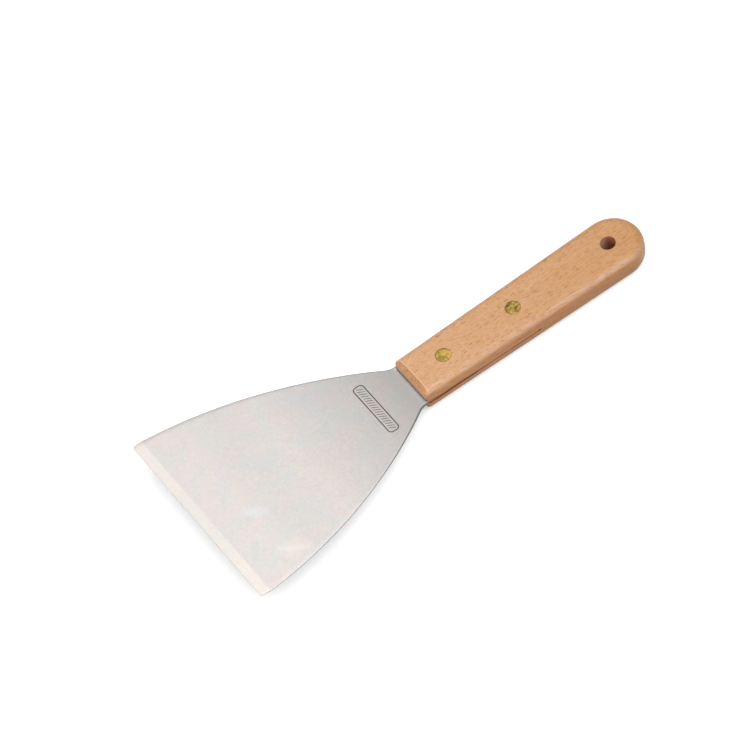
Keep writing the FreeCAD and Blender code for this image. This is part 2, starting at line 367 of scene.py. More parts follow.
def kerf_cutter():
    """Slab that fills the kerf and stands out of the wood; its end is an arc of the saw."""
    bm = bmesh.new()
    sag = SAW_RADIUS - math.sqrt(SAW_RADIUS**2 - HALF_FRONT**2)
    deep_x = FRONT_X + KERF_DEPTH + sag
    start_x = FRONT_X - 5.0
    outer_y = 18.0
    rows, columns = 130, 36
    low, high = [], []
    for i in range(rows + 1):
        low_row, high_row = [], []
        for j in range(columns + 1):
            y = -outer_y + 2 * outer_y * j / columns
            end_x = deep_x - SAW_RADIUS + math.sqrt(SAW_RADIUS**2 - y**2)
            x = start_x + (end_x - start_x) * i / rows
            half = kerf_half(x, y)
            low_row.append(point(bm, x, y, -half))
            high_row.append(point(bm, x, y, half))
        low.append(low_row)
        high.append(high_row)
    for sheet in (low, high):
        for row_a, row_b in zip(sheet, sheet[1:]):
            bridge(bm, row_a, row_b, closed=False)
    for edge in (0, -1):
        bridge(bm, low[edge], high[edge], closed=False)
        bridge(bm, [row[edge] for row in low], [row[edge] for row in high], closed=False)
    bmesh.ops.recalc_face_normals(bm, faces=bm.faces)
    return mesh_object("cutter", bm)


def rivet_facts(place):
    """Centre x, head radius and crown height of one rivet, from the frame."""
    low, high = box_mm(f"rivet_{place}_male")
    return (low.x + high.x) / 2, (high.x - low.x) / 2, high.z


def side_y(x):
    """Half width of the handle between its rounded edges."""
    return HALF_FRONT + SIDE_SLOPE * (x - FRONT_X)


def ease_weight(middle):
    """Share of the full easing: none inside the wood, less on the kerf's lips where it is pressed."""
    if abs(middle.z) > HALF_THICKNESS - EASED_SKIN:
        return 1.0
    for place in RIVETS:
        x, head_radius, _ = rivet_facts(place)
        if math.hypot(middle.x - x, middle.y) < head_radius + EASED_SKIN:
            return 0.0
    if abs(middle.z) > KERF_HALF + 0.05:
        return 1.0
    if middle.x > FRONT_X + FRONT_CORNER and abs(middle.y) < side_y(middle.x) - EASED_SKIN:
        return 0.0
    if abs(middle.y) > TANG_HALF + 1:
        return EASED_LIP * kerf_half(middle.x, middle.y) / KERF_HALF
    return 1.0


def make_handle():
    """Rings stacked from the lower face to the upper one, then cut and eased."""
    bm = bmesh.new()
    rings = []
    for z, inset in handle_levels():
        front_cut = max(0.0, abs(z) - (HALF_THICKNESS - FRONT_CHAMFER))
        rings.append([point(bm, x, y, z) for x, y in handle_outline(inset, front_cut)])
    for ring_a, ring_b in zip(rings, rings[1:]):
        bridge(bm, ring_a, ring_b)
    bm.faces.new(list(reversed(rings[0])))
    bm.faces.new(rings[-1])
    bmesh.ops.recalc_face_normals(bm, faces=bm.faces)
    handle = mesh_object("handle_wood", bm)
    cutters = [kerf_cutter(), post(0, HOLE_RADIUS, -CUT_REACH, CUT_REACH, SEAT_SEGMENTS)]
    seat = HALF_THICKNESS - HEAD_THICKNESS
    for place in RIVETS:
        x, head_radius, _ = rivet_facts(place)
        seat_radius = head_radius + RIVET_GAP
        cutters.append(post(x, SLEEVE_RADIUS + RIVET_GAP, -CUT_REACH, CUT_REACH, BORE_SEGMENTS))
        cutters.append(post(x, seat_radius, seat, CUT_REACH, SEAT_SEGMENTS))
        cutters.append(post(x, seat_radius, -CUT_REACH, -seat, SEAT_SEGMENTS))
    cut(handle, cutters)
    return soften(handle, EASED, ease_weight)


# ---------------------------------------------------------------- blade
def circle_through(a, b, c):
    """Function y(x) of the arc through three points, on the side of the arc that holds them."""
    (ax, ay), (bx, by), (cx, cy) = a, b, c
    d = 2 * (ax * (by - cy) + bx * (cy - ay) + cx * (ay - by))
    a2, b2, c2 = ax * ax + ay * ay, bx * bx + by * by, cx * cx + cy * cy
    ux = (a2 * (by - cy) + b2 * (cy - ay) + c2 * (ay - by)) / d
    uy = (a2 * (cx - bx) + b2 * (ax - cx) + c2 * (bx - ax)) / d
    radius = math.hypot(ax - ux, ay - uy)
    side = 1 if ay > uy else -1
    return lambda x: uy + side * math.sqrt(max(radius**2 - (x - ux) ** 2, 0))


HOLLOW_ARC = circle_through(*HOLLOW)
BLADE_AHEAD = FRONT_X - EDGE_X


def half_thickness(ahead):
    """Half thickness: plain neck, hollow, straight taper, ground bevel."""
    if ahead <= HOLLOW[0][0]:
        return NECK_HALF
    if ahead <= HOLLOW[2][0]:
        return HOLLOW_ARC(ahead)
    bevel_start = BLADE_AHEAD - BEVEL_LENGTH
    if ahead <= bevel_start:
        share = (ahead - HOLLOW[2][0]) / (bevel_start - HOLLOW[2][0])
        return HOLLOW[2][1] + share * (BEVEL_HALF - HOLLOW[2][1])
    share = (ahead - bevel_start) / BEVEL_LENGTH
    return BEVEL_HALF + share * (TIP_HALF - BEVEL_HALF)


def middle_height(ahead):
    """Height of the blade's middle surface: flat in the handle, bent up in front of it."""
    if ahead <= 0:
        return 0.0
    bend_radius = BEND_LENGTH / SET_ANGLE
    turn = min(ahead, BEND_LENGTH) / bend_radius
    return bend_radius * (1 - math.cos(turn)) + max(ahead - BEND_LENGTH, 0) * math.tan(SET_ANGLE)


def half_width(x):
    """Half width of the blade and tang in plan: corner, relieved bevel, side arc, fillet, neck, tang."""
    centre_x = EDGE_X - ARC_OUT
    centre_y = -ARC_OFF
    fillet_y = NECK_HALF_WIDTH + NECK_FILLET
    reach = SIDE_ARC + NECK_FILLET
    fillet_x = centre_x + math.sqrt(reach**2 - (fillet_y - centre_y) ** 2)
    meet_x = centre_x + SIDE_ARC / reach * (fillet_x - centre_x)
    relief_x = EDGE_X + BEVEL_LENGTH

    def on_arc(at):
        return centre_y + math.sqrt(SIDE_ARC**2 - (at - centre_x) ** 2)

    if x < EDGE_X + CORNER:
        return EDGE_HALF_WIDTH - CORNER + math.sqrt(CORNER**2 - (EDGE_X + CORNER - x) ** 2)
    if x < relief_x:
        share = (x - EDGE_X - CORNER) / (BEVEL_LENGTH - CORNER)
        return EDGE_HALF_WIDTH + share * (on_arc(relief_x) - EDGE_HALF_WIDTH)
    if x < meet_x:
        return on_arc(x)
    if x < fillet_x:
        return fillet_y - math.sqrt(NECK_FILLET**2 - (fillet_x - x) ** 2)
    shoulder_x = FRONT_X + SHOULDER_INSET
    if x <= shoulder_x:
        return NECK_HALF_WIDTH
    if x < shoulder_x + SHOULDER_RADIUS:
        rise = SHOULDER_RADIUS - (x - shoulder_x)
        return TANG_HALF + SHOULDER_RADIUS - math.sqrt(SHOULDER_RADIUS**2 - rise**2)
    round_x = TANG_END_X - TANG_HALF
    if x > round_x:
        return math.sqrt(max(TANG_HALF**2 - (x - round_x) ** 2, TANG_TIP_HALF**2))
    return TANG_HALF


def spread(start, end, step):
    """Even positions from start up to end, which is left out, no more than step apart."""
    count = max(1, math.ceil(abs(end - start) / step))
    return [start + (end - start) * i / count for i in range(count)]


def blade_stations():
    """Positions along X of the blade's cross-sections, closer where its outline turns fast."""
    shoulder_x = FRONT_X + SHOULDER_INSET
    round_x = TANG_END_X - TANG_HALF
    clear = 0.05
    stations = [EDGE_X + CORNER * (1 - math.cos(0.5 * math.pi * i / 8)) for i in range(8)]
    stations += spread(EDGE_X + CORNER, EDGE_X + BEVEL_LENGTH, 0.8)
    stations += spread(EDGE_X + BEVEL_LENGTH, FRONT_X - 8, 1.5)
    stations += spread(FRONT_X - 8, shoulder_x, 0.4)
    stations += [shoulder_x]
    for i in range(6):
        reach = SHOULDER_RADIUS * (1 - math.cos(0.5 * math.pi * i / 6))
        stations.append(shoulder_x + clear + reach)
    stations += spread(shoulder_x + SHOULDER_RADIUS + 2 * clear, round_x, 2.0)
    stations += [round_x + TANG_HALF * math.sin(0.5 * math.pi * i / 12) for i in range(13)]
    return stations


def make_blade():
    """Cross-sections with rounded long edges, from the edge back to the end of the tang."""
    bm = bmesh.new()
    columns = 48
    rim_steps = 4
    sections = []
    for x in blade_stations():
        ahead = FRONT_X - x
        half = half_thickness(ahead)
        middle = middle_height(ahead)
        width = half_width(x)
        rim = min(BLADE_RIM, 0.75 * half, 0.5 * width)
        ring = []
        for side in (1, -1):
            for i in range(columns + 1):
                across = side * (1 - 2 * i / columns)
                ring.append((across * (width - rim), side * half))
            for i in range(1, rim_steps):
                turn = math.pi * i / (2 * rim_steps)
                ring.append((-side * (width - rim + rim * math.sin(turn)),
                             side * (half - rim + rim * math.cos(turn))))
            ring.append((-side * width, side * (half - rim)))
            ring.append((-side * width, -side * (half - rim)))
            for i in range(1, rim_steps):
                turn = math.pi * i / (2 * rim_steps)
                ring.append((-side * (width - rim + rim * math.cos(turn)),
                             -side * (half - rim + rim * math.sin(turn))))
        sections.append([point(bm, x, y, middle + z) for y, z in ring])
    for ring_a, ring_b in zip(sections, sections[1:]):
        bridge(bm, ring_a, ring_b)
    bm.faces.new(list(reversed(sections[0])))
    bm.faces.new(sections[-1])
    bmesh.ops.remove_doubles(bm, verts=bm.verts, dist=MERGE_BLADE * MM)
    bmesh.ops.recalc_face_normals(bm, faces=bm.faces)
    bevel_x = (EDGE_X + BEVEL_LENGTH) * MM
    for edge in bm.edges:
        edge.smooth = not all(abs(v.co.x - bevel_x) < MERGE_CUT * MM for v in edge.verts)
    blade = mesh_object("blade_steel", bm)
    cutters = []
    for place in RIVETS:
        x, _, _ = rivet_facts(place)
        cutters.append(post(x, SLEEVE_RADIUS + RIVET_GAP, -CUT_REACH, CUT_REACH, BORE_SEGMENTS))
    cut(blade, cutters)
    blade.data.shade_smooth()
    return blade


# ---------------------------------------------------------------- rivets
def crown(radius, rim_z, crown_z, steps):
    """Points from the middle of a crowned head out to its rounded rim."""
    rise = crown_z - rim_z
    ball = (radius**2 + rise**2) / (2 * rise)
    points = [(0, crown_z)]
    for i in range(1, steps + 1):
        r = (radius - HEAD_RIM) * i / steps
        points.append((r, crown_z - ball + math.sqrt(ball**2 - r**2)))
    last_z = points[-1][1]
    rim_steps = 3
    for i in range(1, rim_steps + 1):
        turn = 0.5 * math.pi * i / rim_steps
        rim_radius = radius - HEAD_RIM + HEAD_RIM * math.sin(turn)
        points.append((rim_radius, last_z - HEAD_RIM + HEAD_RIM * math.cos(turn)))
    return points


def dented(piece, dents, top_z):
    """Presses shallow round dents into the head; a dent is (x, y, radius, depth)."""
    crown_depth = 0.6
    for vertex in piece.data.vertices:
        co = vertex.co / MM
        if abs(co.z) < abs(top_z) - crown_depth:
            continue
        sink = 0.0
        for x, y, radius, depth in dents:
            distance = math.hypot(co.x - x, co.y - y) / radius
            sink += depth * math.exp(-distance**2 * 2)
        sink += PEEN_DEPTH * (noise.noise(Vector((co.x, co.y, 0)) * PEEN_GRAIN) + 0.5)
        vertex.co.z -= math.copysign(sink, top_z) * MM


def make_rivet(place):
    """Upper half with a solid shank and lower half with a sleeve around it."""
    x, radius, crown_z = rivet_facts(place)
    seat = HALF_THICKNESS - HEAD_THICKNESS
    shank = SLEEVE_BORE - SHANK_GAP
    shank_end = box_mm(f"rivet_{place}_male")[0].z
    head = crown(radius, HALF_THICKNESS, crown_z, 14)
    male_profile = head + [
        (radius, seat),
        (shank, seat),
        (shank, shank_end + SHANK_CHAMFER),
        (shank - SHANK_CHAMFER, shank_end),
        (0, shank_end),
    ]
    male = lathe(f"rivet_{place}_upper", male_profile, x, HEAD_SEGMENTS)
    sleeve_end = box_mm(f"rivet_{place}_female")[1].z
    floor_z = -seat + SLEEVE_FLOOR
    female_profile = [(r, -z) for r, z in head] + [
        (radius, -seat),
        (SLEEVE_RADIUS, -seat),
        (SLEEVE_RADIUS, sleeve_end),
        (SLEEVE_BORE, sleeve_end),
        (SLEEVE_BORE, floor_z),
        (0, floor_z),
    ]
    female = lathe(f"rivet_{place}_lower", female_profile, x, HEAD_SEGMENTS)
    shifted = [(x + dx, y, r, depth) for dx, y, r, depth in DENTS[place]]
    dented(male, shifted, crown_z)
    dented(female, shifted, -crown_z)
    return male, female


def build_rivets():
    """Four halves, upper and lower for each rivet."""
    made = []
    for place in RIVETS:
        for piece, half in zip(make_rivet(place), ("male", "female")):
            piece.data.shade_smooth()
            piece.data.set_sharp_from_angle(angle=math.radians(40))
            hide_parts(f"rivet_{place}_{half}")
            made.append(piece)
    return made


# ---------------------------------------------------------------- material helpers
class Nodes:
    """Small helper that adds shader nodes and links them."""

    def __init__(self, name):
        self.material = bpy.data.materials.new(name)
        self.material.use_nodes = True
        self.tree = self.material.node_tree
        self.shader = self.tree.nodes["Principled BSDF"]

    def add(self, kind, **values):
        """New node with the given attributes."""
        node = self.tree.nodes.new(kind)
        for key, value in values.items():
            setattr(node, key, value)
        return node

    def put(self, socket, value):
        """Links another node's socket, or sets a fixed value or colour."""
        if isinstance(value, bpy.types.NodeSocket):
            self.tree.links.new(value, socket)
        elif isinstance(value, tuple) and len(value) == 3 and len(socket.default_value) == 4:
            socket.default_value = (*value, 1.0)
        else:
            socket.default_value = value

    def math(self, operation, a, b=0.0, c=0.0):
        node = self.add("ShaderNodeMath", operation=operation)
        for socket, value in zip(node.inputs, (a, b, c)):
            self.put(socket, value)
        return node.outputs[0]

    def ramp(self, value, low, high, out_low=0.0, out_high=1.0, smooth=True):
        """Maps low..high to out_low..out_high and holds the ends."""
        node = self.add("ShaderNodeMapRange")
        node.interpolation_type = "SMOOTHSTEP" if smooth else "LINEAR"
        for name, item in (("Value", value), ("From Min", low), ("From Max", high),
                           ("To Min", out_low), ("To Max", out_high)):
            self.put(node.inputs[name], item)
        return node.outputs["Result"]

    def mix(self, share, a, b, blend="MIX"):
        node = self.add("ShaderNodeMix", data_type="RGBA", blend_type=blend)
        self.put(node.inputs["Factor"], share)
        # The colour sockets come after the ones for single values and vectors.
        self.put(node.inputs[6], a)
        self.put(node.inputs[7], b)
        return node.outputs[2]

    def noise(self, vector, scale, detail=3.0, rough=0.5, distortion=0.0):
        node = self.add("ShaderNodeTexNoise")
        self.put(node.inputs["Vector"], vector)
        self.put(node.inputs["Scale"], scale)
        self.put(node.inputs["Detail"], detail)
        self.put(node.inputs["Roughness"], rough)
        self.put(node.inputs["Distortion"], distortion)
        return node.outputs["Fac"]

    def place(self, vector, scale=(1, 1, 1), turn=(0, 0, 0), shift=(0, 0, 0)):
        node = self.add("ShaderNodeMapping")
        self.put(node.inputs["Vector"], vector)
        node.inputs["Scale"].default_value = scale
        node.inputs["Rotation"].default_value = turn
        node.inputs["Location"].default_value = shift
        return node.outputs["Vector"]

    def coordinates(self):
        """Object position in millimetres, and its three parts."""
        source = self.add("ShaderNodeTexCoord").outputs["Object"]
        position = self.place(source, scale=(1 / MM, 1 / MM, 1 / MM))
        return position, *self.parts(position)

    def normal_parts(self):
        return self.parts(self.add("ShaderNodeTexCoord").outputs["Normal"])

    def parts(self, vector):
        node = self.add("ShaderNodeSeparateXYZ")
        self.put(node.inputs[0], vector)
        return node.outputs[0], node.outputs[1], node.outputs[2]

    def absolute(self, value):
        return self.math("ABSOLUTE", value)

    def times(self, *values):
        """Product of two or more values."""
        product = values[0]
        for value in values[1:]:
            product = self.math("MULTIPLY", product, value)
        return product

    def length(self, a, b):
        """Length of the flat vector (a, b)."""
        return self.math("SQRT", self.math("ADD", self.times(a, a), self.times(b, b)))

    def reach(self, vector):
        """Length of a vector socket."""
        node = self.add("ShaderNodeVectorMath", operation="LENGTH")
        self.put(node.inputs[0], vector)
        return node.outputs["Value"]

    def bump(self, height, strength, distance):
        node = self.add("ShaderNodeBump")
        self.put(node.inputs["Height"], height)
        node.inputs["Strength"].default_value = strength
        node.inputs["Distance"].default_value = distance * MM
        return node.outputs["Normal"]

    def set(self, **values):
        """Sets inputs of the surface shader; an underscore stands for a space in their names."""
        for key, value in values.items():
            self.put(self.shader.inputs[key.replace("_", " ")], value)


def srgb(red, green, blue):
    """Linear colour of a screen colour whose parts run from 0 to 255."""
    def linear(value):
        value /= 255
        return value / 12.92 if value <= 0.04045 else ((value + 0.055) / 1.055) ** 2.4
    return tuple(linear(v) for v in (red, green, blue))


# ---------------------------------------------------------------- colours
# Tones of the beech at the front of the handle and at its butt.
BEECH_PALE = (srgb(192, 153, 117), srgb(172, 129, 80))
BEECH_DEEP = (srgb(182, 140, 103), srgb(159, 114, 65))
BEECH_ROSY = (srgb(190, 149, 118), srgb(172, 127, 86))
BEECH_GOLDEN = (srgb(184, 143, 97), srgb(166, 121, 67))
FIBRE_BROWN = srgb(166, 114, 66)
PORE_BROWN = srgb(168, 114, 66)
PORE_PALE = srgb(206, 162, 118)
FLECK_SHORT = srgb(146, 90, 42)
FLECK_LONG = srgb(136, 81, 36)
# Threads of the wood where the grain runs out, pale and dark; on the sides deepened by painted shade.
SIDE_THREADS_AND_SHADE = (srgb(172, 114, 64), srgb(136, 82, 42))
END_THREADS = (srgb(202, 142, 94), srgb(160, 102, 60))
# Painted sheen of the long roundings.
PAINTED_SHEEN = srgb(176, 138, 112)
# Painted highlight of the front crest and painted bounce light on the square front end.
CREST_HIGHLIGHT = srgb(210, 168, 130)
END_BOUNCE_LIGHT = srgb(212, 180, 152)
# Painted contact shadow where the blade enters the front end.
LIP_SHADOW = srgb(112, 66, 44)
BUTT_DARK = srgb(158, 100, 50)
SAWN_DEEP = srgb(200, 134, 84)
SAWN_MOUTH = srgb(122, 68, 38)
BORE_TOP = srgb(178, 122, 92)
# Painted shade deep in the bore and painted light on its lit wall.
BORE_DEEP_SHADE = srgb(146, 80, 52)
BORE_LIT_WALL = srgb(196, 166, 150)
BORE_RINGS = srgb(120, 74, 50)

# Linear tints of the steel, which multiply its grey.
TINT_ROSY = (1.075, 0.985, 0.965)
TINT_GREEN = (0.99, 1.005, 0.97)
TINT_STRAW = (1.06, 1.005, 0.90)
TINT_COOL = (0.98, 0.985, 1.0)
TINT_NECK = (1.0, 0.98, 0.98)
TINT_EDGE = (1.005, 0.975, 0.97)
# Linear colours of the steel's marks, of its painted shade and of its ground bevel.
STEEL_SPECKS = (0.33, 0.32, 0.305)
# Painted contact shadow where the steel meets the wood.
STEEL_CONTACT_SHADOW = (0.14, 0.09, 0.065)
STEEL_HALO = (0.55, 0.505, 0.425)
STEEL_STREAK = (0.52, 0.54, 0.57)
STEEL_PATCH = (0.55, 0.55, 0.55)
# Painted shade of the blade's narrow side faces.
STEEL_RIM_SHADE = (0.2, 0.2, 0.2)
STEEL_ETCHED = (0.06, 0.046, 0.042)
BEVEL_STRAW = (0.575, 0.53, 0.475)
BEVEL_GREY = (0.54, 0.515, 0.49)
BEVEL_ROSY = (0.55, 0.49, 0.46)
BEVEL_MIDDLE = (0.48, 0.465, 0.45)

# Brass: where in the noise each rivet's tarnish lies, how fine it is, and its linear colours.
TARNISH = {"front": (-4.0, 2.0, 0.0), "rear": (11.0, -6.0, 3.0)}
TARNISH_SCALE = {"front": 0.42, "rear": 0.72}
BRASS_DULL = {"front": (0.27, 0.19, 0.048), "rear": (0.14, 0.095, 0.024)}
BRASS_BRIGHT = {"front": (0.47, 0.30, 0.08), "rear": (0.38, 0.255, 0.073)}
BRASS_SPOTS = (0.13, 0.095, 0.025)
BRASS_GRIT = (0.16, 0.12, 0.035)
# Painted shade along the rim on the far side.
BRASS_RIM_SHADE = (0.18, 0.115, 0.035)


# ---------------------------------------------------------------- materials
def flecks(n, grain, cell, dash, seed, share):
    """Ray flecks: a share of the cells holds one dash.

    cell and dash are sizes (along, across) the grain, seed shifts the pattern.
    """
    along, side, height = n.parts(grain)
    flat = n.add("ShaderNodeCombineXYZ")
    across = n.math("MULTIPLY_ADD", height, 1.3, side)
    n.put(flat.inputs[0], n.math("MULTIPLY_ADD", along, 1 / cell[0], seed[0]))
    n.put(flat.inputs[1], n.math("MULTIPLY_ADD", across, 1 / cell[1], seed[1]))
    cells = n.add("ShaderNodeTexVoronoi", feature="F1", voronoi_dimensions="2D")
    n.put(cells.inputs["Vector"], flat.outputs[0])
    n.put(cells.inputs["Scale"], 1.0)
    n.put(cells.inputs["Randomness"], 1.0)
    picked, sized, _ = n.parts(cells.outputs["Color"])
    offset = n.add("ShaderNodeVectorMath", operation="SUBTRACT")
    n.put(offset.inputs[0], flat.outputs[0])
    n.put(offset.inputs[1], cells.outputs["Position"])
    stretched = n.place(offset.outputs[0], scale=(cell[0] / dash[0], cell[1] / dash[1], 0))
    size = n.ramp(sized, 0.0, 1.0, 0.55, 1.0, smooth=False)
    mark = n.ramp(n.math("DIVIDE", n.reach(stretched), size), 0.45, 1.0, 1.0, 0.0)
    keep = n.ramp(picked, 1 - share, 1 - 0.4 * share)
    return n.times(mark, keep)


def beech_grain(n, position):
    """Position turned along the grain, which wanders a little from side to side."""
    grain = n.place(position, turn=(0, 0, GRAIN_TURN))
    wander = n.noise(n.place(grain, scale=(0.05, 0.09, 0.09)), 1.0, 2, 0.5)
    sway = n.add("ShaderNodeCombineXYZ")
    n.put(sway.inputs[1], n.times(wander, 4.5))
    moved = n.add("ShaderNodeVectorMath", operation="ADD")
    n.put(moved.inputs[0], grain)
    n.put(moved.inputs[1], sway.outputs[0])
    return moved.outputs[0]


def beech_colour(n, x, grain):
    """Steamed beech: soft bands, streaks and fibres along the grain, and dark ray flecks."""
    mottle = n.noise(n.place(grain, scale=(0.16, 0.4, 0.4), shift=(3, 7, 1)), 1.0, 3, 0.6)
    bands = n.noise(n.place(grain, scale=(0.012, 0.13, 0.1)), 1.0, 3, 0.5, 0.3)
    streaks = n.noise(n.place(grain, scale=(0.06, 1.3, 1.1)), 1.0, 4, 0.6)
    fibres = n.noise(n.place(grain, scale=(0.45, 4.5, 4.5)), 1.0, 4, 0.7)
    pores = n.noise(n.place(grain, scale=(0.55, 1.5, 1.5), shift=(2, 5, 8)), 1.0, 3, 0.6)
    long_flecks = flecks(n, grain, (4.2, 0.95), (1.7, 0.24), (3.1, 0.7), 0.6)
    short_flecks = flecks(n, grain, (2.4, 0.62), (0.95, 0.18), (8.3, 5.2), 0.6)
    along = n.ramp(x, FRONT_X, BUTT_X, smooth=False)
    crowd = n.noise(n.place(grain, scale=(0.035, 0.16, 0.16), shift=(6, 2, 4)), 1.0, 2, 0.5)
    crowd = n.times(n.ramp(crowd, 0.35, 0.6, 0.5, 1.0), n.ramp(along, 0.0, 0.35, 0.65, 1.0))
    deep = n.mix(along, *BEECH_DEEP)
    bodies = n.mix(n.ramp(bands, 0.3, 0.7), deep, n.mix(along, *BEECH_PALE))
    tints = n.mix(n.ramp(mottle, 0.36, 0.64), n.mix(along, *BEECH_ROSY), n.mix(along, *BEECH_GOLDEN))
    body = n.mix(0.5, bodies, tints)
    body = n.mix(n.ramp(streaks, 0.4, 0.75, 0.0, 0.6), body, deep)
    body = n.mix(n.ramp(fibres, 0.36, 0.72, 0.0, 0.5), body, FIBRE_BROWN)
    body = n.mix(n.ramp(pores, 0.42, 0.7, 0.0, 0.5), body, PORE_BROWN)
    body = n.mix(n.ramp(pores, 0.42, 0.25, 0.0, 0.3), body, PORE_PALE)
    body = n.mix(n.times(short_flecks, crowd, 0.7), body, FLECK_SHORT)
    body = n.mix(n.times(long_flecks, crowd, 0.95), body, FLECK_LONG)
    return body, streaks, fibres


def beech_outside(name):
    """Varnished beech: sides deeper, partly painted shade; painted sheen on long edges and front crest.
    """
    n = Nodes(name)
    position, x, _, z = n.coordinates()
    grain = beech_grain(n, position)
    body, streaks, fibres = beech_colour(n, x, grain)
    nx, ny, nz = n.normal_parts()
    across = n.absolute(ny)
    side = n.ramp(across, 0.6, 1.0)
    # On the sides the grain runs out: the threads drift down toward the butt; their deeper tone is
    # partly painted shade.
    leaning = n.place(grain, turn=(0, THREAD_LEAN, 0))
    threads = n.noise(n.place(leaning, scale=(0.07, 1.25, 1.25), shift=(9, 4, 2)), 1.0, 4, 0.7)
    wood_side = n.mix(n.ramp(threads, 0.42, 0.6), *SIDE_THREADS_AND_SHADE)
    streaky = n.ramp(streaks, 0.35, 0.65, 0.5, 0.85)
    body = n.mix(n.times(side, streaky), body, wood_side)
    # The long roundings carry a painted sheen, stronger toward the butt and streaked along the threads.
    sheen = n.times(n.ramp(across, 0.2, 0.6), n.ramp(across, 0.8, 0.97, 1.0, 0.0))
    sheen = n.times(sheen, n.ramp(x, FRONT_X, SHEEN_FULL_X, 0.1, 1.0))
    sheen = n.times(sheen, n.ramp(threads, 0.38, 0.56, 0.1, 1.0))
    body = n.mix(n.times(sheen, 0.8), body, PAINTED_SHEEN)
    # Front end grain: orange chamfer, painted highlight on its crest, painted bounce light on the square
    # end.
    chamfer_x = FRONT_X + FRONT_CHAMFER
    in_front = n.ramp(x, chamfer_x + 0.5, chamfer_x + 1.0, 1.0, 0.0)
    facing = n.times(n.absolute(nx), in_front)
    wood_end = n.mix(n.ramp(threads, 0.42, 0.62), *END_THREADS)
    body = n.mix(n.ramp(facing, 0.35, 0.65, 0.0, 0.6), body, wood_end)
    # Painted highlight along the crest of the chamfer.
    from_crest = n.absolute(n.math("SUBTRACT", x, chamfer_x + 0.25))
    crest = n.times(n.ramp(from_crest, 0.1, 0.7, 1.0, 0.0), n.ramp(n.absolute(nz), 0.6, 0.8))
    body = n.mix(n.times(crest, 0.35), body, CREST_HIGHLIGHT)
    # Painted bounce light from the blade on the square front end.
    body = n.mix(n.ramp(facing, 0.85, 0.98, 0.0, 0.85), body, END_BOUNCE_LIGHT)
    # Painted contact shadow on the front end beside the kerf, where the blade goes in.
    lip_height = n.ramp(n.absolute(z), KERF_HALF + 0.2, KERF_HALF + 1.0, 0.75, 0.0)
    lip = n.times(lip_height, n.ramp(x, FRONT_X + 0.3, FRONT_X + 0.6, 1.0, 0.0))
    body = n.mix(lip, body, LIP_SHADOW)
    # The end grain of the round butt has soaked up more varnish.
    butt = n.ramp(n.times(nx, n.ramp(x, *BUTT_ONSET)), 0.4, 1.0, 0.0, 0.55)
    body = n.mix(butt, body, BUTT_DARK)
    waves = n.noise(n.place(grain, scale=(0.08, 1.1, 1.1)), 1.0, 4, 0.65)
    n.set(Base_Color=body, Normal=n.bump(fibres, 0.12, 0.1))
    n.set(Roughness=n.ramp(streaks, 0.3, 0.7, 0.42, 0.55), IOR=1.5, Specular_IOR_Level=0.2)
    n.set(Coat_Weight=n.ramp(threads, 0.38, 0.58, 0.15, 0.85), Coat_Roughness=0.28, Coat_IOR=1.5)
    n.set(Coat_Normal=n.bump(waves, 0.8, 0.3))
    return n.material


def beech_sawn(name):
    """Bare wood inside the kerf, browner toward its mouth."""
    n = Nodes(name)
    position, x, y, _ = n.coordinates()
    body, _, fibres = beech_colour(n, x, beech_grain(n, position))
    mouth = n.ramp(n.absolute(y), HALF_FRONT - 1.4, HALF_FRONT - 0.2)
    inside = n.mix(mouth, SAWN_DEEP, SAWN_MOUTH)
    n.set(Base_Color=n.mix(0.8, body, inside), Normal=n.bump(fibres, 0.4, 0.1), Roughness=0.85)
    n.set(Specular_IOR_Level=0.2)
    return n.material


def beech_bored(name):
    """Drilled wood: greyed near the top of the bore, painted shade deeper down, painted light on one
    wall.
    """
    n = Nodes(name)
    position, x, _, z = n.coordinates()
    body, _, _ = beech_colour(n, x, beech_grain(n, position))
    rings = n.noise(n.place(position, scale=(0.3, 0.3, 5.0)), 1.0, 3, 0.6)
    # Painted shade that deepens down the bore.
    depth = n.ramp(n.absolute(z), HALF_THICKNESS - 0.3, 0.0, smooth=False)
    bored = n.mix(depth, BORE_TOP, BORE_DEEP_SHADE)
    nx, ny, _ = n.normal_parts()
    # Painted light: the wall on the blade's side, which faces the lamps, is lighter and greyer.
    facing_lamps = n.math("SUBTRACT", n.times(nx, 0.75), n.times(ny, 0.66))
    bored = n.mix(n.times(n.ramp(facing_lamps, 0.1, 0.9), 0.6), bored, BORE_LIT_WALL)
    bored = n.mix(n.ramp(rings, 0.4, 0.7, 0.0, 0.4), bored, BORE_RINGS)
    n.set(Base_Color=n.mix(0.85, body, bored), Normal=n.bump(rings, 0.4, 0.15), Roughness=0.8)
    n.set(Specular_IOR_Level=0.2)
    return n.material


